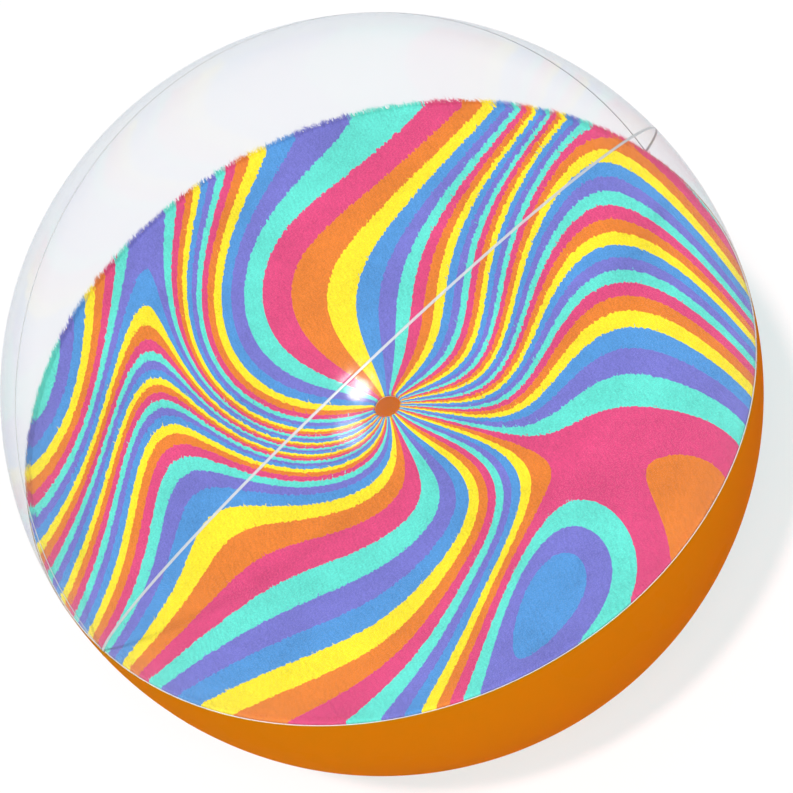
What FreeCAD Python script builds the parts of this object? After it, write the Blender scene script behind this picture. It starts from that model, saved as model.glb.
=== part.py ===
import FreeCAD, Part
import math
import os
import re
import Sketcher

# An inflatable beach ball, built inflated, in millimetres.
# The origin is the ball's centre. +Z runs through the pole of the clear dome, and the
# X axis runs through the two gore poles, where the tips of all six gores meet.
# The clear and the orange half meet in the XY plane. The printed disc hangs from that plane
# and sags a little in the middle.
# A gore angle is counted about +X, from +Y towards +Z.

DIMENSIONS = {
    # the inflated skin
    "ball_radius": 290.0,
    "skin": 0.5,
    "side_gore_angle": 57.0,
    "middle_gore_angle": 66.0,
    # the disc that hangs from the seam
    "backing": 0.5,
    "plush_radius": 287.0,
    "pile": 3.0,
    "sag": 17.0,
    "vent_radius": 10.35,
    # the valve, in the middle of the orange gore at the back
    "port_radius": 10.0,
    "port_reach": 20.0,
    "flange_radius": 19.0,
    "flange_depth": 1.9,
    "web": 0.8,
    "web_lip": 0.9,
    "web_foot": 12.6,
    "web_grip": 1.4,
    "fit_gap": 0.05,
    "stem_radius": 6.5,
    "stem_bore": 3.75,
    "stem_length": 15.0,
    "mouth_radius": 8.2,
    "mouth_bottom": 0.2,
    "mouth_top": 1.7,
    "edge": 0.4,
    "plug_cap": 1.5,
    "plug_shank": 7.7,
    "tab_width": 7.0,
    "tab_reach": 12.0,
    "tab_corner": 1.6,
    "tether_width": 4.0,
    "tether": 0.9,
    "tether_gap": 0.5,
    "tether_reach": 10.2,
    "tether_root": 6.5,
    "flap": 0.6,
    "flap_radius": 5.5,
    "flap_neck": 6.0,
}

doc = FreeCAD.newDocument("BeachBall")
sheet = doc.addObject("Spreadsheet::Sheet", "Dims")
for row, (alias, value) in enumerate(DIMENSIONS.items(), start=1):
    sheet.set(f"A{row}", alias)
    sheet.set(f"B{row}", str(value))
    sheet.setAlias(f"B{row}", alias)
doc.recompute()

subparts = []


def dim(alias):
    """The value of one cell of the sheet."""
    return float(getattr(sheet, alias))


def bind(thing, **sizes):
    """Tie sizes of an object to the sheet: each value is an expression, with plain aliases."""
    for name, expression in sizes.items():
        thing.setExpression(name, cells(expression))


def cells(expression):
    """The same expression with the sheet's name in front of each alias."""
    return re.sub(r"[a-z_]+", r"Dims.\g<0>", expression)


def keep(thing, label):
    """Take an object as a finished sub-part with this name."""
    thing.Label = label
    subparts.append(thing)
    return thing


def cut(base, tool, name):
    """One object with another taken out of it."""
    result = doc.addObject("Part::Cut", name)
    result.Base = base
    result.Tool = tool
    return result


def common(base, tool, name):
    """What two objects share."""
    result = doc.addObject("Part::Common", name)
    result.Base = base
    result.Tool = tool
    return result


def cylinder(name, radius, height, placement):
    """A cylinder along its own Z, with its sizes tied to the sheet."""
    result = doc.addObject("Part::Cylinder", name)
    bind(result, Radius=radius, Height=height)
    result.Placement = placement
    return result


def ball(name, radius):
    """A whole solid ball about the origin."""
    result = doc.addObject("Part::Sphere", name)
    bind(result, Radius=radius)
    return result


# ---------------------------------------------------------------- sketches and bodies


def new_body(name, placement):
    """An empty body at a placement."""
    body = doc.addObject("PartDesign::Body", name)
    body.Placement = placement
    return body


def new_sketch(body, name, role):
    """A sketch on one of the body's own origin planes."""
    sketch = body.newObject("Sketcher::SketchObject", name)
    plane = [feature for feature in body.Origin.OriginFeatures if feature.Role == role][0]
    sketch.AttachmentSupport = [(plane, "")]
    sketch.MapMode = "FlatFace"
    doc.recompute()
    return sketch


def hold_point(sketch, edge, point, across, up):
    """Tie one end of one edge of a sketch to two expressions, or to an axis where one is 0."""
    for kind, axis, expression in (("DistanceX", -2, across), ("DistanceY", -1, up)):
        if expression == "0":
            sketch.addConstraint(Sketcher.Constraint("PointOnObject", edge, point, axis))
            continue
        value = sketch.evalExpression(cells(expression))
        index = sketch.addConstraint(Sketcher.Constraint(kind, edge, point, float(value)))
        sketch.setExpression(f"Constraints[{index}]", cells(expression))


def arc_about_axis(start, end):
    """The lower arc between two points of a sketch, about a point on its upright axis."""
    height = (start.dot(start) - end.dot(end)) / (2 * (start.y - end.y))
    centre = FreeCAD.Vector(0, height, 0)
    inner, outer = sorted((start - centre, end - centre), key=lambda spoke: spoke.x)
    circle = Part.Circle(centre, FreeCAD.Vector(0, 0, 1), inner.Length)
    angles = [math.atan2(spoke.y, spoke.x) for spoke in (inner, outer)]
    return Part.ArcOfCircle(circle, *angles)


def draw_outline(sketch, corners, arcs=()):
    """A closed outline through corners given as pairs of expressions.

    Its edges are straight, apart from those whose numbers are in arcs.
    """
    points = [
        FreeCAD.Vector(*(float(sketch.evalExpression(cells(part))) for part in corner), 0)
        for corner in corners
    ]
    ends = points[1:] + points[:1]
    # Which end of each edge is the outline's own corner: 1, or 2 for an arc drawn inwards,
    # because an arc always runs anticlockwise.
    heads = []
    for edge, (start, end) in enumerate(zip(points, ends)):
        if edge in arcs:
            sketch.addGeometry(arc_about_axis(start, end), False)
            sketch.addConstraint(Sketcher.Constraint("PointOnObject", edge, 3, -2))
            heads.append(1 if start.x < end.x else 2)
        else:
            sketch.addGeometry(Part.LineSegment(start, end), False)
            heads.append(1)
    for edge, head in enumerate(heads):
        following = (edge + 1) % len(points)
        joint = ("Coincident", edge, 3 - head, following, heads[following])
        sketch.addConstraint(Sketcher.Constraint(*joint))
    for edge, (across, up) in enumerate(corners):
        hold_point(sketch, edge, heads[edge], across, up)


def draw_circle(sketch, radius):
    """A circle about the sketch's origin."""
    value = float(sketch.evalExpression(cells(radius)))
    up = FreeCAD.Vector(0, 0, 1)
    edge = sketch.addGeometry(Part.Circle(FreeCAD.Vector(0, 0, 0), up, value), False)
    sketch.addConstraint(Sketcher.Constraint("Coincident", edge, 3, -1, 1))
    index = sketch.addConstraint(Sketcher.Constraint("Radius", edge, value))
    sketch.setExpression(f"Constraints[{index}]", cells(radius))


def revolve(body, name, corners, arcs=()):
    """A turned solid: an outline of radius and height, revolved about the body's Z."""
    sketch = new_sketch(body, name + "_outline", "XZ_Plane")
    draw_outline(sketch, corners, arcs)
    feature = body.newObject("PartDesign::Revolution", name + "_turned")
    feature.Profile = sketch
    feature.ReferenceAxis = (sketch, ["V_Axis"])
    feature.Angle = 360.0
    sketch.Visibility = False
    doc.recompute()
    return feature


def pad(body, name, role, draw, length, midplane=False):
    """A pad of whatever draw puts in a sketch on one of the body's planes."""
    sketch = new_sketch(body, name + "_outline", role)
    draw(sketch)
    feature = body.newObject("PartDesign::Pad", name + "_pad")
    feature.Profile = sketch
    feature.Midplane = midplane
    bind(feature, Length=length)
    sketch.Visibility = False
    doc.recompute()
    return feature


def box_corners(left, bottom, right, top):
    """The four corners of an upright rectangle."""
    return [(left, bottom), (right, bottom), (right, top), (left, top)]


# ---------------------------------------------------------------- the skin

POLE = FreeCAD.Vector(1, 0, 0)
ABOVE_SEAM = 0.0
BELOW_SEAM = 180.0


def gore_placement(start_angle):
    """Turns a ball's own Z to the gore poles, and its own X to where the gore starts."""
    turn = math.radians(start_angle)
    start = FreeCAD.Vector(0, math.cos(turn), math.sin(turn))
    across = POLE.cross(start)
    return FreeCAD.Placement(FreeCAD.Vector(), FreeCAD.Rotation(start, across, POLE, "ZXY"))


def gore_wedge(name, radius, start_angle, width):
    """A solid slice of a ball between two planes through the gore poles."""
    wedge = doc.addObject("Part::Sphere", name)
    bind(wedge, Radius=radius, Angle3=width)
    wedge.Placement = gore_placement(start_angle)
    return wedge


def gore(name, start_angle, width):
    """One gore of the skin, a curved sheet that runs from pole to pole."""
    outside = gore_wedge(name + "_outside", "ball_radius", start_angle, width)
    inside = gore_wedge(name + "_inside", "ball_radius - skin", start_angle, width)
    return cut(outside, inside, name)


def gore_starts(first):
    """The start angle and the width's name of one half's three gores, in order about the X axis."""
    side = dim("side_gore_angle")
    middle = dim("middle_gore_angle")
    return [
        (first, "side_gore_angle"),
        (first + side, "middle_gore_angle"),
        (first + side + middle, "side_gore_angle"),
    ]


# The orange gores stop one backing thickness short of the seam plane, so that the
# backing's rim is caught between the two halves, as it is in the equator weld.
seam_slab = cylinder(
    "seam_slab",
    "ball_radius + backing",
    "backing",
    FreeCAD.Placement(FreeCAD.Vector(0, 0, -dim("backing")), FreeCAD.Rotation()),
)

# The valve's own frame: its origin is on the outside of the skin and its Z points outwards.
VALVE_ANGLE = dim("side_gore_angle") / 2
valve_out = FreeCAD.Vector(
    0, math.cos(math.radians(VALVE_ANGLE)), -math.sin(math.radians(VALVE_ANGLE))
)
valve_turn = FreeCAD.Rotation(POLE, -(90 + VALVE_ANGLE))


def in_valve(height):
    """A placement on the valve's axis, at a height above the outside of the skin."""
    return FreeCAD.Placement(valve_out * (dim("ball_radius") + height), valve_turn)


port = cylinder("port", "port_radius", "port_reach * 2", in_valve(-dim("port_reach")))


def build_skin():
    """Three clear gores above the seam plane and three orange ones below it."""
    for place, (start, width) in zip(("rear", "middle", "front"), gore_starts(ABOVE_SEAM)):
        name = f"clear_panel_{place}"
        keep(gore(name + "_gore", start, width), name)
    for place, (start, width) in zip(("front", "middle", "rear"), gore_starts(BELOW_SEAM)):
        name = f"orange_panel_{place}"
        panel = cut(gore(name + "_gore", start, width), seam_slab, name + "_trimmed")
        if place == "rear":
            panel = cut(panel, port, name + "_ported")
        keep(panel, name)


# ---------------------------------------------------------------- the hanging disc


def build_disc_backing():
    """The thin sheet that hangs from the seam, with a flat rim and its vent hole."""
    body = new_body("disc_backing_body", FreeCAD.Placement())
    corners = [
        ("vent_radius", "-sag - backing"),
        ("plush_radius", "-backing"),
        ("ball_radius", "-backing"),
        ("ball_radius", "0"),
        ("plush_radius", "0"),
        ("vent_radius", "-sag"),
    ]
    revolve(body, "backing", corners, arcs=(0, 4))
    keep(body, "disc_backing")


def build_plush_disc():
    """The printed plush, a ring as thick as its pile, on top of the backing."""
    body = new_body("plush_disc_body", FreeCAD.Placement())
    corners = [
        ("vent_radius", "-sag"),
        ("plush_radius", "0"),
        ("plush_radius", "pile"),
        ("vent_radius", "pile - sag"),
    ]
    revolve(body, "plush", corners, arcs=(0, 2))
    keep(body, "plush_disc")


# ---------------------------------------------------------------- the valve


def build_valve_flange():
    """The round weld plate, which takes the curve of the skin's inside."""
    blank = cylinder(
        "flange_blank", "flange_radius", "flange_depth", in_valve(-dim("flange_depth"))
    )
    curved = common(blank, ball("flange_ball", "ball_radius - skin"), "flange_curved")
    keep(cut(curved, port, "flange_bored"), "valve_flange")


def build_valve_web():
    """The thin cone that rolls as the stem moves, from the flange's bore to the stem's foot."""
    body = new_body("valve_web_body", in_valve(0))
    revolve(
        body,
        "web",
        [
            ("port_radius", "-web_lip"),
            ("port_radius", "-flange_depth"),
            ("stem_radius + fit_gap + web", "-web_foot"),
            ("stem_radius + fit_gap", "-web_foot"),
            ("stem_radius + fit_gap", "web_grip - web_foot"),
            ("port_radius - web", "web * 0.25 - flange_depth"),
            ("port_radius - web", "-web_lip"),
        ],
    )
    keep(body, "valve_web")


def build_valve_stem():
    """The mouthpiece: a tube with a wider mouth that stands just proud of the skin."""
    body = new_body("valve_stem_body", in_valve(0))
    revolve(
        body,
        "stem",
        [
            ("stem_bore", "-stem_length"),
            ("stem_radius - edge", "-stem_length"),
            ("stem_radius", "edge - stem_length"),
            ("stem_radius", "mouth_bottom"),
            ("mouth_radius - edge", "mouth_bottom"),
            ("mouth_radius", "mouth_bottom + edge"),
            ("mouth_radius", "mouth_top"),
            ("stem_bore", "mouth_top"),
        ],
    )
    keep(body, "valve_stem")


def build_valve_plug():
    """The stopper: a cap on the mouth, a shank in the bore and a tab to pull it by."""
    body = new_body("valve_plug_body", in_valve(dim("mouth_top")))
    cap_radius = "mouth_radius - fit_gap"
    revolve(
        body,
        "stopper",
        [
            ("0", "plug_cap"),
            ("0", "-plug_shank"),
            ("stem_bore - edge * 2", "-plug_shank"),
            ("stem_bore - fit_gap", "edge * 2 - plug_shank"),
            ("stem_bore - fit_gap", "0"),
            (cap_radius, "0"),
            (cap_radius, "plug_cap - edge"),
            ("mouth_radius - fit_gap - edge", "plug_cap"),
        ],
    )

    def tab(sketch):
        half = "tab_width * 0.5"
        bevel = "tab_width * 0.25"
        corners = [
            (f"-{half}", "-mouth_radius * 0.5"),
            (f"-{half}", "tab_corner - tab_reach"),
            (f"-{bevel}", "-tab_reach"),
            (bevel, "-tab_reach"),
            (half, "tab_corner - tab_reach"),
            (half, "-mouth_radius * 0.5"),
        ]
        draw_outline(sketch, corners)

    pad(body, "tab", "XY_Plane", tab, "plug_cap - edge")
    keep(body, "valve_plug")


def build_plug_tether():
    """The strap that holds the plug to the mouth, folded in a flat loop beside them."""
    body = new_body("plug_tether_body", in_valve(dim("mouth_top")))

    def loop(sketch):
        low = "-tether_gap * 0.5 - tether"
        high = "tether_gap * 0.5 + tether"
        turned = "tether_reach + tether"
        end = "tether_reach + tether_gap + tether * 2"
        corners = [
            ("tether_root", low),
            (turned, low),
            (end, "-tether"),
            (end, "tether"),
            (turned, high),
            ("tether_root", high),
            ("tether_root", "tether_gap * 0.5"),
            (turned, "tether_gap * 0.5"),
            (turned, "-tether_gap * 0.5"),
            ("tether_root", "-tether_gap * 0.5"),
        ]
        draw_outline(sketch, corners)

    pad(body, "strap", "YZ_Plane", loop, "tether_width", midplane=True)
    sketch = new_sketch(body, "mouth_side_outline", "XY_Plane")
    draw_circle(sketch, "mouth_radius")
    pocket = body.newObject("PartDesign::Pocket", "mouth_side")
    pocket.Profile = sketch
    pocket.Type = "ThroughAll"
    pocket.Midplane = True
    sketch.Visibility = False
    doc.recompute()
    keep(body, "plug_tether")


def build_check_flap():
    """The one-way flap under the stem, a round leaf on a straight neck that ends at its hinge."""
    body = new_body("check_flap_body", in_valve(-dim("stem_length") - dim("flap")))
    pad(body, "leaf", "XY_Plane", lambda sketch: draw_circle(sketch, "flap_radius"), "flap")
    half = "flap_neck * 0.5"

    def neck(sketch):
        draw_outline(sketch, box_corners(f"-{half}", "0", half, "stem_radius"))

    pad(body, "neck", "XY_Plane", neck, "flap")
    keep(body, "check_flap")


# ---------------------------------------------------------------- build, test and write

build_skin()
build_disc_backing()
build_plush_disc()
build_valve_flange()
build_valve_web()
build_valve_stem()
build_valve_plug()
build_plug_tether()
build_check_flap()
doc.recompute()

for thing in doc.Objects:
    if "Invalid" in thing.State or "Error" in thing.State:
        raise RuntimeError(f"{thing.Label} did not build: {thing.State}")

os.makedirs("parts", exist_ok=True)
for thing in subparts:
    shape = thing.Shape
    if shape.isNull() or not shape.isValid():
        raise RuntimeError(f"{thing.Label} has no valid shape")
    if len(shape.Solids) != 1:
        raise RuntimeError(f"{thing.Label} is {len(shape.Solids)} solids, not one")

for thing in subparts:
    thing.Shape.exportStep(f"parts/{thing.Label}.step")
    print(f"{thing.Label}: {thing.Shape.Volume / 1000:.3f} cm3")
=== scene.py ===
"""The looks of an inflatable beach ball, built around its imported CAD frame. Metres, +Z up."""

import math

import bpy
import numpy as np
from mathutils import Matrix, Vector


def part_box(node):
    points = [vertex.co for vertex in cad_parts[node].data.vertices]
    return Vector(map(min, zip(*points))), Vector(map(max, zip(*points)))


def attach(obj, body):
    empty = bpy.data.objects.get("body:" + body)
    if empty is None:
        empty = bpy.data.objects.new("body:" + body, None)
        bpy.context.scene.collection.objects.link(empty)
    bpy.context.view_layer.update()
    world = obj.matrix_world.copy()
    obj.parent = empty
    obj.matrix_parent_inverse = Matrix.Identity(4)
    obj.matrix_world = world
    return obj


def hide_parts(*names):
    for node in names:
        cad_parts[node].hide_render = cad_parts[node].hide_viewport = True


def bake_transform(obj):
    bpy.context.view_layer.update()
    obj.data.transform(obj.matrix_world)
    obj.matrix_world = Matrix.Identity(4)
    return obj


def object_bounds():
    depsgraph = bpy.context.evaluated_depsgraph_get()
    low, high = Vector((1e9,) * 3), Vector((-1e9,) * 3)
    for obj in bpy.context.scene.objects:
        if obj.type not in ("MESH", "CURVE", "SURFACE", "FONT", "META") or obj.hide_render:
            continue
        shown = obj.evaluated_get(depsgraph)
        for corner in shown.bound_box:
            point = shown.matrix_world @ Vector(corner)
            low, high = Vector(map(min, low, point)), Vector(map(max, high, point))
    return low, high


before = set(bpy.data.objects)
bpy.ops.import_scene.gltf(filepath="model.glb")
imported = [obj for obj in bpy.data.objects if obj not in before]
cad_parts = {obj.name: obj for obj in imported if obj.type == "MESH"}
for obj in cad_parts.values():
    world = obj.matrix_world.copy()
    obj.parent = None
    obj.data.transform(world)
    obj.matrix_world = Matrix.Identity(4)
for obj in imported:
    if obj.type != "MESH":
        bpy.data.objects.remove(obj)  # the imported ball: its bodies, nodes, joints and record
cad_low, cad_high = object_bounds()

# ---------------------------------------------------------------- sizes from the frame

CENTRE = (cad_low + cad_high) / 2
BALL_RADIUS = (cad_high.x - cad_low.x) / 2
plush_low, plush_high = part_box("plush_disc")
RIM_SPREAD = 0.0018  # how far the pile spreads past the sheet that carries it
DISC_RADIUS = (plush_high.x - plush_low.x) / 2 + RIM_SPREAD
PILE = plush_high.z
SAG = -plush_low.z
VENT_RADIUS = 0.01035
SKIN = 0.0005
SIDE_GORE = math.radians(57)
MIDDLE_GORE = math.radians(66)
SEAM_ANGLES = (0.0, SIDE_GORE, SIDE_GORE + MIDDLE_GORE)

# ---------------------------------------------------------------- camera, light and floor

RIGHT = Vector((0.7158, -0.6420, -0.2749)).normalized()
UP = Vector((0.6579, 0.4879, 0.5736)).normalized()
BACK = RIGHT.cross(UP).normalized()
CAMERA_DISTANCE = 8.3 * BALL_RADIUS
SENSOR_WIDTH = 36
LENS = 142.9
SHIFT_RIGHT = 0.018537
SHIFT_UP = -0.0029
LIGHT_DISTANCE = 2.4
FLOOR_HALF_WIDTH = 9.0
FLOOR_GAP = 0.0002


def add_camera():
    """The camera, from above and to one side, with the ball a little left of the middle."""
    data = bpy.data.cameras.new("camera")
    data.sensor_width = SENSOR_WIDTH
    data.lens = LENS
    data.shift_x = SHIFT_RIGHT
    data.shift_y = SHIFT_UP
    camera = bpy.data.objects.new("camera", data)
    bpy.context.scene.collection.objects.link(camera)
    turn = Matrix((RIGHT, UP, BACK)).transposed().to_4x4()
    camera.matrix_world = Matrix.Translation(CENTRE + BACK * CAMERA_DISTANCE) @ turn
    bpy.context.scene.camera = camera


def add_light(name, kind, toward, distance=1.0, **settings):
    """A light that shines at the ball's centre from one direction."""
    data = bpy.data.lights.new(name, kind)
    for key, value in settings.items():
        setattr(data, key, value)
    light = bpy.data.objects.new(name, data)
    bpy.context.scene.collection.objects.link(light)
    toward = toward.normalized()
    light.location = CENTRE + toward * distance
    light.rotation_euler = toward.to_track_quat("Z", "Y").to_euler()
    return light


def add_disk(name, toward, size, energy, distance=LIGHT_DISTANCE):
    """A round area light."""
    return add_light(name, "AREA", toward, distance, shape="DISK", size=size, energy=energy)


def add_lights():
    """A key, a front fill and a lamp hidden under the ball, which only shade, and two glare boxes.

    The lamp makes the orange sheet glow inside. Only the dome's gloss shows the glare boxes.
    """
    sun = Vector((-0.306, -0.347, 1.0))
    key = add_light("key", "SUN", sun, 3.0, energy=2.4, angle=math.radians(4))
    front = add_disk("front", BACK, 0.5, 16.0)
    lamp = add_disk("under_ball", Vector((0, 0, -1)), 0.30, 0.9, distance=BALL_RADIUS)
    for light in (key, front, lamp):
        light.visible_glossy = False
        light.visible_camera = False
    glare = BACK * 0.99 - RIGHT * 0.105 + UP * 0.032
    soft_glare = BACK * 0.98 - RIGHT * 0.145 - UP * 0.172
    for box in (add_disk("glare", glare, 0.27, 30.0), add_disk("soft_glare", soft_glare, 0.34, 12.0)):
        box.visible_diffuse = False


def add_world():
    """An even white studio, a touch darker and cooler towards the horizon."""
    world = bpy.data.worlds.new("studio")
    bpy.context.scene.world = world
    world.use_nodes = True
    nodes, links = world.node_tree.nodes, world.node_tree.links
    background = nodes["Background"]
    place = nodes.new("ShaderNodeTexCoord")
    split = nodes.new("ShaderNodeSeparateXYZ")
    ramp = nodes.new("ShaderNodeValToRGB")
    ramp.color_ramp.elements[0].position = 0.0
    ramp.color_ramp.elements[0].color = (0.72, 0.77, 0.81, 1)
    ramp.color_ramp.elements[1].position = 0.7
    ramp.color_ramp.elements[1].color = (0.99, 0.99, 1.0, 1)
    links.new(place.outputs["Generated"], split.inputs[0])
    links.new(split.outputs["Z"], ramp.inputs[0])
    links.new(ramp.outputs[0], background.inputs["Color"])
    background.inputs["Strength"].default_value = 0.5


# ---------------------------------------------------------------- node helpers


class Nodes:
    """A short way to write the nodes of one material."""

    def __init__(self, name):
        self.material = bpy.data.materials.new(name)
        self.material.use_nodes = True
        self.tree = self.material.node_tree
        self.tree.nodes.clear()
        self.output = self.tree.nodes.new("ShaderNodeOutputMaterial")

    def add(self, kind, **inputs):
        node = self.tree.nodes.new(kind)
        for name, value in inputs.items():
            self.put(node.inputs[name.replace("_", " ")], value)
        return node

    def put(self, socket, value):
        if isinstance(value, bpy.types.NodeSocket):
            self.tree.links.new(value, socket)
        else:
            socket.default_value = value

    def math(self, operation, *values):
        node = self.tree.nodes.new("ShaderNodeMath")
        node.operation = operation
        for socket, value in zip(node.inputs, values):
            self.put(socket, value)
        return node.outputs[0]

    def sum(self, *values):
        total = values[0]
        for value in values[1:]:
            total = self.math("ADD", total, value)
        return total

    def times(self, *values):
        total = values[0]
        for value in values[1:]:
            total = self.math("MULTIPLY", total, value)
        return total

    def minus(self, left, right):
        return self.math("SUBTRACT", left, right)

    def split(self, vector):
        node = self.tree.nodes.new("ShaderNodeSeparateXYZ")
        self.put(node.inputs[0], vector)
        return node.outputs

    def join(self, x, y, z=0.0):
        node = self.tree.nodes.new("ShaderNodeCombineXYZ")
        for socket, value in zip(node.inputs, (x, y, z)):
            self.put(socket, value)
        return node.outputs[0]

    def place(self):
        return self.add("ShaderNodeTexCoord").outputs["Object"]

    def noise(self, vector, scale, detail=2.0, roughness=0.5):
        node = self.add("ShaderNodeTexNoise", Scale=scale, Detail=detail, Roughness=roughness)
        self.put(node.inputs["Vector"], vector)
        return node.outputs["Fac"]

    def range(self, value, low, high, to_low, to_high):
        node = self.tree.nodes.new("ShaderNodeMapRange")
        for socket, number in zip(node.inputs, (value, low, high, to_low, to_high)):
            self.put(socket, number)
        return node.outputs[0]

    def ramp(self, value, stops, constant=False):
        node = self.tree.nodes.new("ShaderNodeValToRGB")
        ramp = node.color_ramp
        if constant:
            ramp.interpolation = "CONSTANT"
        while len(ramp.elements) < len(stops):
            ramp.elements.new(0.5)
        for element, (position, colour) in zip(ramp.elements, stops):
            element.position = position
            element.color = (*colour, 1)
        self.put(node.inputs[0], value)
        return node.outputs[0]

    def tint(self, colour, factor):
        """A colour made lighter or darker by a factor."""
        node = self.tree.nodes.new("ShaderNodeMix")
        node.data_type = "RGBA"
        node.blend_type = "MULTIPLY"
        node.inputs[0].default_value = 1.0
        self.put(node.inputs[6], colour)
        grey = self.tree.nodes.new("ShaderNodeCombineColor")
        for socket in grey.inputs:
            self.put(socket, factor)
        self.put(node.inputs[7], grey.outputs[0])
        return node.outputs[2]

    def bump(self, height, distance, strength=1.0):
        node = self.add("ShaderNodeBump", Strength=strength, Distance=distance)
        self.put(node.inputs["Height"], height)
        return node.outputs[0]

    def mix(self, factor, first, second):
        node = self.tree.nodes.new("ShaderNodeMixShader")
        self.put(node.inputs[0], factor)
        self.put(node.inputs[1], first)
        self.put(node.inputs[2], second)
        return node.outputs[0]

    def finish(self, shader):
        self.put(self.output.inputs["Surface"], shader)
        return self.material


def linear(red, green, blue):
    """A colour given as 0 to 255 on a screen, as the linear colour that shaders take."""
    parts = [part / 255 for part in (red, green, blue)]
    return tuple(p / 12.92 if p <= 0.04045 else ((p + 0.055) / 1.055) ** 2.4 for p in parts)


# ---------------------------------------------------------------- the print

# The swirl's bands: how many there are round the disc, how far they crowd towards the two
# gore poles, how they turn and wave as they go out, and the places where they close on themselves.
BANDS = 84
CROWDING = 1.8
FIRST_BAND = 3.0
TWIST = 0.9
TWIST_REACH = 1.5
CROSS_WAVE = (0.30, 4.4, 0.2)
LONG_WAVE = (0.60, 5.2, 1.1)
EYES = ((-0.10, -0.76, 4.6, 0.28), (0.10, 0.72, -1.0, 0.30), (0.50, -0.60, 2.2, 0.34))
PRINT_COLOURS = (
    linear(214, 68, 118),
    linear(222, 122, 40),
    linear(242, 220, 34),
    linear(78, 144, 204),
    linear(113, 112, 192),
    linear(94, 214, 196),
)
# The way the pile leans, in the disc's plane.
LEAN = Vector((0.368, 0.930, 0.0)).normalized()
FIBRES_ACROSS = 480.0  # per metre
FIBRES_ALONG = 130.0
FRAY = 0.0042  # how far the band borders are torn
FRAY_FROM = 0.10  # the distance from the middle where the full fraying starts


def print_phase(n, u, v):
    """Which band a point of the disc is in, as a running number."""
    out = n.math("SQRT", n.sum(n.times(u, u), n.times(v, v)))
    fade = n.math("EXPONENT", n.times(out, out, -1 / TWIST_REACH**2))
    turn = n.times(n.math("POWER", out, 1.5), fade, TWIST)
    cosine, sine = n.math("COSINE", turn), n.math("SINE", turn)
    a = n.minus(n.times(cosine, u), n.times(sine, v))
    b = n.sum(n.times(sine, u), n.times(cosine, v))
    waved = []
    for main, other, (size, rate, start) in ((a, b, CROSS_WAVE), (b, a, LONG_WAVE)):
        wave = n.math("SINE", n.math("MULTIPLY_ADD", other, rate, start))
        waved.append(n.sum(main, n.times(wave, out, size)))
    angle = n.math("ARCTAN2", n.times(waved[1], CROWDING), waved[0])
    phase = n.math("MULTIPLY_ADD", angle, -BANDS / (2 * math.pi), -FIRST_BAND)
    for x, y, height, width in EYES:
        across, along = n.minus(u, x), n.minus(v, y)
        apart = n.sum(n.times(across, across), n.times(along, along))
        bump = n.math("EXPONENT", n.times(apart, -1 / width**2))
        phase = n.minus(phase, n.times(bump, height))
    return phase


def plush_material():
    """Short printed pile: torn band borders, streaks along the lean, and a soft sheen."""
    n = Nodes("printed_plush")
    uv = n.add("ShaderNodeUVMap")
    uv.uv_map = "print"
    x, y, _ = n.split(uv.outputs[0])
    along = n.sum(n.times(x, LEAN.x), n.times(y, LEAN.y))
    across = n.minus(n.times(y, LEAN.x), n.times(x, LEAN.y))
    fibre = n.join(n.times(across, FIBRES_ACROSS), n.times(along, FIBRES_ALONG))
    streak = n.noise(fibre, 1.0, 2.0, 0.6)
    ragged = n.range(along, -DISC_RADIUS, DISC_RADIUS, 0.45, 1.2)
    out = n.math("SQRT", n.sum(n.times(x, x), n.times(y, y)))
    ragged = n.times(ragged, n.range(out, 0.0, FRAY_FROM, 0.08, 1.0))
    shift = n.times(n.minus(streak, 0.5), 2 * FRAY, ragged)
    u = n.times(n.minus(x, n.times(shift, LEAN.x)), 1 / DISC_RADIUS)
    v = n.times(n.minus(y, n.times(shift, LEAN.y)), 1 / DISC_RADIUS)
    phase = n.times(print_phase(n, u, v), 1 / len(PRINT_COLOURS))
    part = n.math("FRACT", phase)
    stops = [(i / len(PRINT_COLOURS), colour) for i, colour in enumerate(PRINT_COLOURS)]
    colour = n.ramp(part, stops, constant=True)
    patches = n.noise(uv.outputs[0], 16.0, 3.0, 0.6)
    tufts = n.noise(uv.outputs[0], 700.0, 1.0)
    shade = n.sum(n.times(streak, 0.40), n.times(patches, 0.50), n.times(tufts, 0.55), 0.275)
    colour = n.tint(colour, shade)
    relief = n.sum(n.times(streak, 0.7), n.times(tufts, 0.5))
    skin = n.add(
        "ShaderNodeBsdfPrincipled",
        Base_Color=colour,
        Roughness=n.range(streak, 0.3, 0.7, 0.82, 0.96),
        Sheen_Weight=0.05,
        Sheen_Roughness=0.5,
        Specular_IOR_Level=0.0,
        Normal=n.bump(relief, 0.0008, 0.55),
    )
    return n.finish(skin.outputs[0])


# ---------------------------------------------------------------- sheet and moulding materials


def facing(n):
    """0 where the surface is seen square on, and 1 at a grazing view."""
    return n.add("ShaderNodeLayerWeight", Blend=0.5).outputs["Facing"]


def mirror_share(n, slant):
    """How much of the light a smooth plastic surface mirrors at that slant, less from behind."""
    share = n.math("MULTIPLY_ADD", n.math("POWER", slant, 6.0), 0.5, 0.020)
    behind = n.add("ShaderNodeNewGeometry").outputs["Backfacing"]
    return n.times(share, n.math("MULTIPLY_ADD", behind, -0.8, 1.0))


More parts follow.
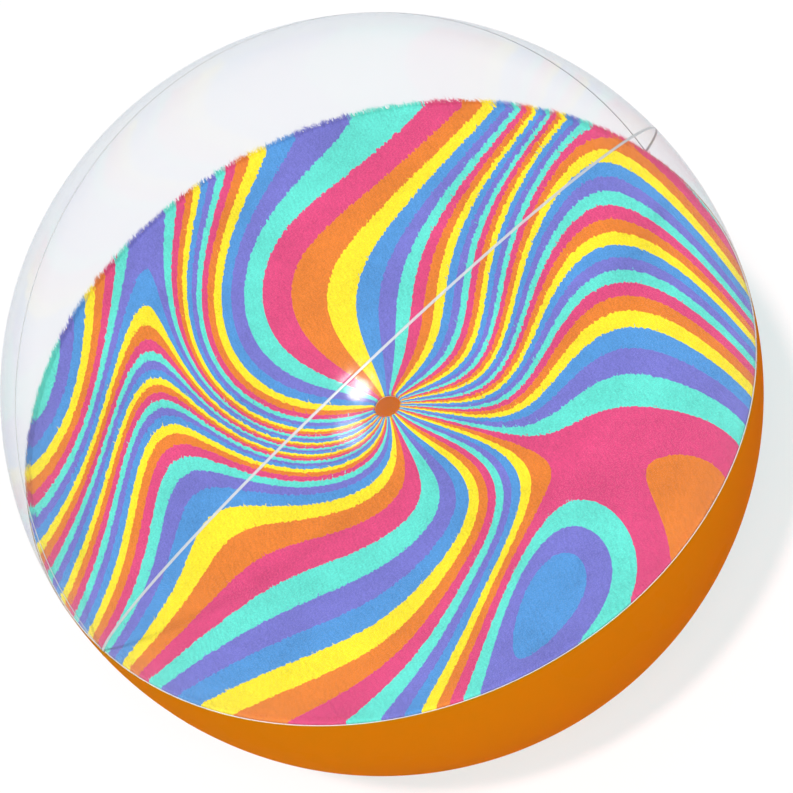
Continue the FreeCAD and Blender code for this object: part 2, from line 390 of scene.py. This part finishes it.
def clear_film(n, haze, edge_haze, mirror=1.0, roughness=0.08, milkiness=(0.90, 0.92, 0.93)):
    """Clear sheet: it passes nearly all light straight through, mirrors a little, and is a bit milky."""
    slant = facing(n)
    body = n.ramp(
        slant,
        [(0.0, (0.976, 0.979, 0.986)), (0.6, (0.974, 0.978, 0.984)), (1.0, (0.93, 0.945, 0.955))],
    )
    through = n.add("ShaderNodeBsdfTransparent", Color=body).outputs[0]
    ripple = n.noise(n.place(), 26.0, 2.0, 0.4)
    grain = n.noise(n.place(), 240.0, 1.0)
    relief = n.sum(n.times(ripple, 1.0), n.times(grain, 0.06))
    lobes = [
        n.add(
            "ShaderNodeBsdfAnisotropic",
            Color=(0.98, 0.98, 1.0, 1),
            Roughness=n.range(grain, 0.3, 0.7, low, low + 0.04),
            Normal=n.bump(relief, 0.0016, 0.08),
        ).outputs[0]
        for low in (roughness, roughness + 0.08)
    ]
    gloss = n.mix(0.22, *lobes)
    milk = n.add("ShaderNodeBsdfDiffuse", Color=(*milkiness, 1)).outputs[0]
    cloud = n.math("MULTIPLY_ADD", n.math("POWER", slant, 3.0), edge_haze, haze)
    sheet = n.mix(cloud, through, milk)
    return n.mix(n.times(mirror_share(n, slant), mirror), sheet, gloss)


def clear_material(name="clear_vinyl", mirror=1.0):
    n = Nodes(name)
    return n.finish(clear_film(n, 0.008, 0.04, mirror))


def weld_material():
    """A welded lap of the clear sheet, flattened and milky where the two layers are fused."""
    n = Nodes("clear_weld")
    return n.finish(clear_film(n, 0.62, 0.1, roughness=0.2, milkiness=(0.62, 0.64, 0.65)))


def orange_material(name, share, shade=1.0, glow_red=255):
    """Satin orange sheet, a share of which lets light through with a deep orange glow."""
    n = Nodes(name)
    place = n.place()
    clouds = n.noise(place, 9.0, 3.0, 0.55)
    grain = n.noise(place, 420.0, 2.0, 0.6)
    ripple = n.noise(place, 22.0, 2.0, 0.4)
    relief = n.bump(n.sum(ripple, n.times(grain, 0.05)), 0.0012, 0.2)
    base = tuple(part * shade for part in linear(200, 156, 2))
    colour = n.tint((*base, 1), n.sum(n.times(clouds, 0.08), n.times(grain, 0.04), 0.94))
    skin = n.add("ShaderNodeBsdfDiffuse", Color=colour, Roughness=0.3, Normal=relief).outputs[0]
    glow = n.add("ShaderNodeBsdfTranslucent", Color=(*linear(glow_red, 182, 6), 1)).outputs[0]
    gloss = n.add(
        "ShaderNodeBsdfAnisotropic",
        Color=(1.0, 0.97, 0.92, 1),
        Roughness=n.range(clouds, 0.3, 0.7, 0.24, 0.34),
        Normal=relief,
    ).outputs[0]
    slant = facing(n)
    sheen = n.math("MULTIPLY_ADD", n.math("POWER", slant, 6.0), 0.012, 0.003)
    return n.finish(n.mix(sheen, n.mix(share, skin, glow), gloss))


def backing_material():
    """Matt white sheet under the plush."""
    n = Nodes("backing_vinyl")
    grain = n.noise(n.place(), 300.0, 2.0)
    patches = n.noise(n.place(), 12.0, 3.0)
    colour = n.tint((0.84, 0.83, 0.80, 1), n.sum(n.times(patches, 0.1), 0.94))
    skin = n.add(
        "ShaderNodeBsdfPrincipled",
        Base_Color=colour,
        Roughness=n.range(grain, 0.3, 0.7, 0.5, 0.65),
        Normal=n.bump(grain, 0.0003, 0.4),
    )
    return n.finish(skin.outputs[0])


def valve_material(name, colour, clearness):
    """Milky soft moulded plastic, with a fine moulded grain."""
    n = Nodes(name)
    grain = n.noise(n.place(), 900.0, 2.0)
    cloud = n.noise(n.place(), 90.0, 2.0)
    shade = n.tint((*colour, 1), n.sum(n.times(cloud, 0.12), 0.93))
    skin = n.add(
        "ShaderNodeBsdfPrincipled",
        Base_Color=shade,
        Roughness=n.range(cloud, 0.3, 0.7, 0.22, 0.36),
        Specular_IOR_Level=0.5,
        Subsurface_Weight=0.35,
        Subsurface_Scale=0.003,
        Alpha=clearness,
        Normal=n.bump(grain, 0.0001, 0.4),
    )
    return n.finish(skin.outputs[0])


def floor_material():
    """A light table: pale paper with some light of its own."""
    n = Nodes("studio_floor")
    paper = n.noise(n.place(), 60.0, 2.0)
    colour = n.tint((0.40, 0.27, 0.26, 1), n.sum(n.times(paper, 0.02), 0.99))
    skin = n.add(
        "ShaderNodeBsdfPrincipled",
        Base_Color=colour,
        Roughness=0.9,
        Specular_IOR_Level=0.1,
        Emission_Color=(0.75, 0.98, 1.0, 1),
        Emission_Strength=0.69,
    )
    return n.finish(skin.outputs[0])


# ---------------------------------------------------------------- mesh helpers


def add_mesh(name, points, faces, material, smooth=True):
    """A mesh object from arrays of points and faces."""
    mesh = bpy.data.meshes.new(name)
    mesh.from_pydata([tuple(p) for p in points], [], [tuple(map(int, f)) for f in faces])
    mesh.validate()
    mesh.materials.append(material)
    mesh.polygons.foreach_set("use_smooth", [smooth] * len(mesh.polygons))
    thing = bpy.data.objects.new(name, mesh)
    bpy.context.scene.collection.objects.link(thing)
    return thing


def grid_faces(rows, columns, start=0, close_rows=False, close_columns=False, flip=False):
    """The quads of a grid of points, which may close on itself either way."""
    row = np.arange(rows if close_rows else rows - 1)
    column = np.arange(columns if close_columns else columns - 1)
    i, j = (part.ravel() for part in np.meshgrid(row, column, indexing="ij"))
    below, beside = (i + 1) % rows, (j + 1) % columns
    corners = [i * columns + j, below * columns + j, below * columns + beside, i * columns + beside]
    if flip:
        corners.reverse()
    return np.stack(corners, axis=1) + start


def tube_faces(rows, columns, closed=False):
    """The faces of a tube of closed sections, capped at both ends unless it closes on itself."""
    faces = list(map(tuple, grid_faces(rows, columns, close_rows=closed, close_columns=True)))
    if not closed:
        faces.append(tuple(range(columns)))
        faces.append(tuple(reversed(range((rows - 1) * columns, rows * columns))))
    return faces


def set_print_places(thing, places):
    """Stores where on the print each corner of a mesh takes its colour from, in metres."""
    layer = thing.data.uv_layers.new(name="print")
    index = np.empty(len(thing.data.loops), np.int32)
    thing.data.loops.foreach_get("vertex_index", index)
    layer.data.foreach_set("uv", np.asarray(places, np.float32)[index].ravel())


# ---------------------------------------------------------------- the skin

GORE_ROWS, GORE_COLUMNS = 520, 41
EDGE_CROWDING = 0.75  # how far a gore's columns crowd towards its two seams
POLE_GAP = 0.002  # the angle left open at each gore pole
SEAM_WELD_GAP = 0.006
SEAM_WELD_ROWS = 420
RING_ROWS = 900
SEAM_DIP = 0.0001
SEAM_DIP_WIDTH = 0.006
PUCKER = 0.00003
PUCKER_LENGTH = 0.0125
PUCKER_WIDTH = 0.013
WELD_WIDTH = 0.0020
WELD_HEIGHT = 0.0002
RING_WIDTH = 0.0018


def seam_shape(run, gap, seed):
    """How far the skin stands off its sphere, at a run along a seam and a gap away from it."""
    beat = 2 * math.pi * run / PUCKER_LENGTH
    drift = 1.9 * np.sin(beat * 0.137 + seed) + 1.3 * np.sin(beat * 0.061 + 2.1 * seed)
    wave = np.sin(beat + drift) * (0.65 + 0.35 * np.sin(beat * 0.083 + 1.7 * seed))
    dip = -SEAM_DIP * np.exp(-((gap / SEAM_DIP_WIDTH) ** 2))
    return dip + PUCKER * wave * np.exp(-((gap / PUCKER_WIDTH) ** 2))


def on_ball(pole_angle, gore_angle, radius):
    """Points of the ball: pole_angle from the -X gore pole, gore_angle about X from +Y towards +Z."""
    ring = radius * np.sin(pole_angle)
    x = -radius * np.cos(pole_angle)
    points = np.stack([x, ring * np.cos(gore_angle), ring * np.sin(gore_angle)], axis=-1)
    return points + np.array(CENTRE)


def add_gore(name, start, width, seeds, outside, inside):
    """One gore of the skin, a thin closed sheet with a dip and fine puckers along its seams."""
    rows, columns = GORE_ROWS, GORE_COLUMNS
    slide = np.linspace(0, 1, columns)
    across = start + width * (slide - np.sin(2 * np.pi * slide) / (2 * np.pi) * EDGE_CROWDING)
    along = np.linspace(POLE_GAP, math.pi - POLE_GAP, rows)
    pole_angle, gore_angle = np.meshgrid(along, across, indexing="ij")
    ring = BALL_RADIUS * np.sin(pole_angle)
    run = BALL_RADIUS * pole_angle
    offset = 0.0
    for edge, seed in zip((start, start + width), seeds):
        offset = offset + seam_shape(run, ring * np.abs(gore_angle - edge), seed)
    layers = [
        on_ball(pole_angle, gore_angle, BALL_RADIUS + offset - inset).reshape(-1, 3)
        for inset in (0.0, SKIN)
    ]
    count = rows * columns
    faces = [grid_faces(rows, columns), grid_faces(rows, columns, start=count, flip=True)]
    index = np.arange(count).reshape(rows, columns)
    rim = np.concatenate([index[:, 0], index[-1, 1:], index[-2::-1, -1], index[0, -2:0:-1]])
    after = np.roll(rim, -1)
    faces.append(np.stack([after, rim, rim + count, after + count], axis=1))
    sheet = add_mesh(name, np.concatenate(layers), np.concatenate(faces), outside)
    sheet.data.materials.append(inside)
    within = np.zeros(len(sheet.data.polygons), np.int32)
    within[len(faces[0]) : 2 * len(faces[0])] = 1
    sheet.data.polygons.foreach_set("material_index", within)
    return sheet


def add_weld(name, path, sideways, outward, size, material, closed=False):
    """A low rounded bead along a path on the skin, where two sheets are welded."""
    turn = np.linspace(0, math.pi, 7)
    width = np.concatenate([np.cos(turn), [-0.9, 0.9]]) * size[0] / 2
    height = np.concatenate([np.sqrt(np.sin(turn).clip(0)) * size[1], [-0.0001, -0.0001]])
    sections = (
        path[:, None, :]
        + sideways[:, None, :] * width[None, :, None]
        + outward[:, None, :] * height[None, :, None]
    )
    rows, columns = sections.shape[:2]
    faces = tube_faces(rows, columns, closed)
    return add_mesh(name, sections.reshape(-1, 3), faces, material)


def add_seam_weld(name, gore_angle, seed, material):
    """The weld between two gores of one half, from pole to pole."""
    pole_angle = np.linspace(SEAM_WELD_GAP, math.pi - SEAM_WELD_GAP, SEAM_WELD_ROWS)
    run = BALL_RADIUS * pole_angle
    radius = BALL_RADIUS + seam_shape(run, 0 * run, seed)
    angle = np.full_like(pole_angle, gore_angle)
    path = on_ball(pole_angle, angle, radius)
    outward = (path - np.array(CENTRE)) / radius[:, None]
    sideways = np.tile([0.0, -math.sin(gore_angle), math.cos(gore_angle)], (len(path), 1))
    return add_weld(name, path, sideways, outward, (WELD_WIDTH, WELD_HEIGHT), material)


def add_equator_weld(name, material):
    """The weld round the ball where both halves and the disc's backing meet."""
    turn = np.linspace(0, 2 * math.pi, RING_ROWS, endpoint=False)
    outward = np.stack([np.cos(turn), np.sin(turn), 0 * turn], axis=1)
    path = outward * (BALL_RADIUS - SEAM_DIP) + np.array(CENTRE) - np.array([0, 0, SKIN / 2])
    sideways = np.tile([0.0, 0.0, 1.0], (len(path), 1))
    size = (RING_WIDTH, 2 * SEAM_DIP)
    return add_weld(name, path, sideways, outward, size, material, closed=True)


def build_skin():
    """Six gores and their welds. The two halves mirror each other across the seam plane."""
    clear, weld = clear_material(), weld_material()
    clear_inside = clear_material("clear_vinyl_inside", mirror=0.25)
    orange = orange_material("orange_vinyl", 0.62, glow_red=238)
    orange_inside = orange_material("orange_inside", 0.94)
    orange_weld = orange_material("orange_weld", 0.3, shade=0.9)
    sides = {"clear": (clear, clear_inside), "orange": (orange, orange_inside)}
    seeds = {0: 1.0, 1: 2.3, 2: 3.1, 3: 4.7, 4: 5.9, 5: 0.4}
    edges = [*SEAM_ANGLES, *(angle + math.pi for angle in SEAM_ANGLES), 2 * math.pi]
    names = [
        ("clear", "rear"),
        ("clear", "middle"),
        ("clear", "front"),
        ("orange", "front"),
        ("orange", "middle"),
        ("orange", "rear"),
    ]
    for index, (colour, place) in enumerate(names):
        start, end = edges[index], edges[index + 1]
        pair = (seeds[index], seeds[(index + 1) % 6])
        sheet = add_gore(f"{colour}_gore_{place}", start, end - start, pair, *sides[colour])
        if colour == "orange" and place == "rear":
            cut_port(sheet)
        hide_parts(f"{colour}_panel_{place}")
        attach(sheet, "ball")
        if index not in (0, 3):
            film = weld if colour == "clear" else orange_weld
            bead = add_seam_weld(f"{colour}_weld_{place}", start, seeds[index], film)
            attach(bead, "ball")
    ring = add_equator_weld("equator_weld", orange)
    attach(ring, "ball")


VALVE_ANGLE = SIDE_GORE / 2
VALVE_OUT = Vector((0, math.cos(VALVE_ANGLE), -math.sin(VALVE_ANGLE)))
PORT_RADIUS = 0.010
PORT_DEPTH = 0.02


def cut_port(sheet):
    """Opens the round hole in the sheet for the valve."""
    bpy.ops.mesh.primitive_cylinder_add(
        vertices=96,
        radius=PORT_RADIUS,
        depth=PORT_DEPTH,
        location=CENTRE + VALVE_OUT * BALL_RADIUS,
        rotation=VALVE_OUT.to_track_quat("Z", "Y").to_euler(),
    )
    tool = bpy.context.object
    hole = sheet.modifiers.new("port", "BOOLEAN")
    hole.operation = "DIFFERENCE"
    hole.object = tool
    hole.solver = "EXACT"
    graph = bpy.context.evaluated_depsgraph_get()
    cut = bpy.data.meshes.new_from_object(sheet.evaluated_get(graph))
    sheet.modifiers.clear()
    sheet.data = cut
    bpy.data.objects.remove(tool)


# ---------------------------------------------------------------- the plush disc


TURNS = 720
RINGS = 150
UNDER_RINGS = 30
RIM_ROUNDING = 0.0022
# Tufts: how many, from where to where, their reach, half their width, and how steeply they rise.
LYING_TUFTS = (34000, VENT_RADIUS + 0.001, DISC_RADIUS - 0.003, (0.0034, 0.0060), 0.00034, 0.16)
RIM_TUFTS = (14000, DISC_RADIUS - 0.0045, DISC_RADIUS - 0.0012, (0.0034, 0.0088), 0.00018, 0.9)
SKIN_GAP = 0.0003  # what the tufts keep clear of the skin


def sag_at(x, y):
    """The height of the backing's top, which hangs lowest at the vent."""
    out = (x**2 + y**2 - VENT_RADIUS**2) / (DISC_RADIUS**2 - VENT_RADIUS**2)
    return -SAG * (1 - out)


def pile_height(x, y):
    """The pile's uneven top, as a share of its usual height."""
    slow = np.sin(x * 61 + 1.3 * np.sin(y * 47)) * np.sin(y * 53 + 1.1 * np.sin(x * 39))
    quick = np.sin(x * 870 + 2 * np.sin(y * 410)) * np.sin(y * 790 + 2 * np.sin(x * 370))
    return 1 + 0.05 * slow + 0.05 * quick


def add_plush(material):
    """The disc: an uneven top, a rounded rim, a smooth underside and the vent hole in the middle."""
    angle = np.linspace(0, 2 * math.pi, TURNS, endpoint=False)
    edge = RIM_ROUNDING
    flat = np.linspace(VENT_RADIUS + edge, DISC_RADIUS - edge, RINGS)
    bend = np.linspace(0, math.pi / 2, 5)[1:]
    out = np.concatenate(
        [
            [VENT_RADIUS],
            VENT_RADIUS + edge * (1 - np.sin(bend[::-1])),
            flat,
            DISC_RADIUS - edge * (1 - np.sin(bend)),
            [DISC_RADIUS],
        ]
    )
    drop = edge / PILE * (1 - np.cos(bend))
    lift = np.concatenate([[0.0], 1 - drop[::-1], np.ones(len(flat)), 1 - drop, [0.0]])
    under = np.linspace(DISC_RADIUS, VENT_RADIUS, UNDER_RINGS)[1:-1]
    out, lift = np.concatenate([out, under]), np.concatenate([lift, 0 * under])
    radius, turn = np.meshgrid(out, angle, indexing="ij")
    x, y = radius * np.cos(turn), radius * np.sin(turn)
    z = sag_at(x, y) + (lift[:, None] * 0.94 * pile_height(x, y)).clip(0, 1) * PILE
    points = np.stack([x, y, z], axis=-1).reshape(-1, 3) + np.array(CENTRE)
    faces = grid_faces(len(out), TURNS, close_rows=True, close_columns=True)
    disc = add_mesh("plush_sheet", points, faces, material)
    set_print_places(disc, points[:, :2])
    return disc


def add_pile(material):
    """Tufts that lie over the pile along its lean, and stand up along the rim."""
    rng = np.random.default_rng(7)
    groups = []
    for count, low, high, reach, half, rise in (LYING_TUFTS, RIM_TUFTS):
        out = np.sqrt(rng.uniform(low**2, high**2, count))
        turn = rng.uniform(0, 2 * math.pi, count)
        length = rng.uniform(*reach, count)
        groups.append((out, turn, length, half * rng.uniform(0.6, 1.3, count), rise + 0 * out))
    out, turn, length, half, rise = (np.concatenate(parts) for parts in zip(*groups))
    count = len(out)
    x, y = out * np.cos(turn), out * np.sin(turn)
    along = (x * LEAN.x + y * LEAN.y) / DISC_RADIUS
    length *= 0.80 + 0.30 * along
    clumps = np.sin(turn * 390 + 2.5 * np.sin(turn * 61)) * np.sin(turn * 237 + 1.0)
    standing = rise > 0.5
    length *= 1 + 0.45 * clumps * standing
    length *= 1 - 0.6 * (standing & (along < 0.1))  # short on the near side, where the rim is smooth
    root = np.stack([x, y, sag_at(x, y) + PILE * 0.80], axis=1)
    way = np.tile(np.array(LEAN), (count, 1))
    way[:, :2] += rng.normal(0, 0.30, (count, 2))
    way[:, 2] = rise * rng.uniform(0.5, 1.4, count)
    way /= np.linalg.norm(way, axis=1)[:, None]
    side = np.cross(way, [0.0, 0.0, 1.0])
    side /= np.linalg.norm(side, axis=1)[:, None]
    side *= half[:, None]
    middle = root + way * (length * 0.5)[:, None]
    tip = root + way * length[:, None] - np.array([0.0, 0.0, 1.0]) * (length * 0.10)[:, None]
    points = np.stack([root - side, root + side, middle + side * 0.8, tip, middle - side * 0.8], axis=1)
    flat_points = points.reshape(-1, 3)
    limit = BALL_RADIUS - SKIN - SEAM_DIP - SKIN_GAP
    distance = np.linalg.norm(flat_points, axis=1)
    flat_points *= np.minimum(1, limit / distance)[:, None]
    first = np.arange(count)[:, None] * 5
    faces = [*map(tuple, first + [[0, 1, 2, 4]]), *map(tuple, first + [[4, 2, 3]])]
    pile = add_mesh("plush_pile", flat_points + np.array(CENTRE), faces, material)
    set_print_places(pile, np.repeat(root[:, :2], 5, axis=0))
    return pile


def build_disc():
    """The printed plush with its loose fibres, and the backing's material."""
    material = plush_material()
    disc, pile = add_plush(material), add_pile(material)
    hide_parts("plush_disc")
    for piece in (disc, pile):
        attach(piece, "ball")
    use_material("disc_backing", backing_material())


# ---------------------------------------------------------------- the valve


def use_material(node, material):
    """Gives a CAD node that stays in view a finished material."""
    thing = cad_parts[node]
    for slot in thing.material_slots:
        slot.material = material


STRAP_MIDDLE = BALL_RADIUS + 0.0017  # half way between the strap's two arms, out along the valve
STRAP_ROOT = 0.0080
STRAP_BEND = 0.01135
STRAP_FOLD = 0.0007
STRAP_WIDTH = 0.0040
STRAP_THICKNESS = 0.0009


def add_strap(material):
    """The strap from the stem's mouth to the plug, folded at rest."""
    arm = np.linspace(STRAP_ROOT, STRAP_BEND, 7)
    turn = np.linspace(-math.pi / 2, math.pi / 2, 33)[1:-1]
    down = np.concatenate([arm, STRAP_BEND + STRAP_FOLD * np.cos(turn), arm[::-1]])
    out = np.concatenate([0 * arm - STRAP_FOLD, STRAP_FOLD * np.sin(turn), 0 * arm + STRAP_FOLD])
    ahead = np.stack([np.gradient(down), np.gradient(out)])
    ahead /= np.linalg.norm(ahead, axis=0)
    around = np.linspace(0, 2 * math.pi, 24, endpoint=False)
    wide, thick = (np.sign(w) * np.abs(w) ** 0.35 / 2 for w in (np.cos(around), np.sin(around)))
    down = down[:, None] + ahead[1][:, None] * thick * STRAP_THICKNESS
    out = STRAP_MIDDLE + out[:, None] - ahead[0][:, None] * thick * STRAP_THICKNESS
    side = np.tile(wide * STRAP_WIDTH, (len(down), 1))
    valve_down = np.array([0, -math.sin(VALVE_ANGLE), -math.cos(VALVE_ANGLE)])
    points = out[..., None] * np.array(VALVE_OUT) + down[..., None] * valve_down
    points[..., 0] += side
    faces = tube_faces(*side.shape)
    strap = add_mesh("plug_strap", points.reshape(-1, 3) + np.array(CENTRE), faces, material)
    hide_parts("plug_tether")
    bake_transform(strap)


def build_valve():
    """Moulded-plastic materials on the valve's CAD parts, and the strap to the plug."""
    moulded = valve_material("valve_vinyl", linear(212, 217, 217), 0.94)
    film = valve_material("valve_film", linear(206, 214, 214), 0.8)
    for node in ("valve_flange", "valve_web", "valve_stem", "valve_plug"):
        use_material(node, moulded)
    add_strap(moulded)
    use_material("check_flap", film)


# ---------------------------------------------------------------- the scene


def add_floor():
    """A wide pale floor that the ball stands on."""
    half = FLOOR_HALF_WIDTH
    low = cad_low.z - FLOOR_GAP
    points = [(-half, -half, low), (half, -half, low), (half, half, low), (-half, half, low)]
    floor = add_mesh("floor", points, [(0, 1, 2, 3)], floor_material(), smooth=False)


bpy.context.scene.view_settings.view_transform = "Standard"
add_camera()
add_lights()
add_world()
add_floor()
build_skin()
build_disc()
build_valve()
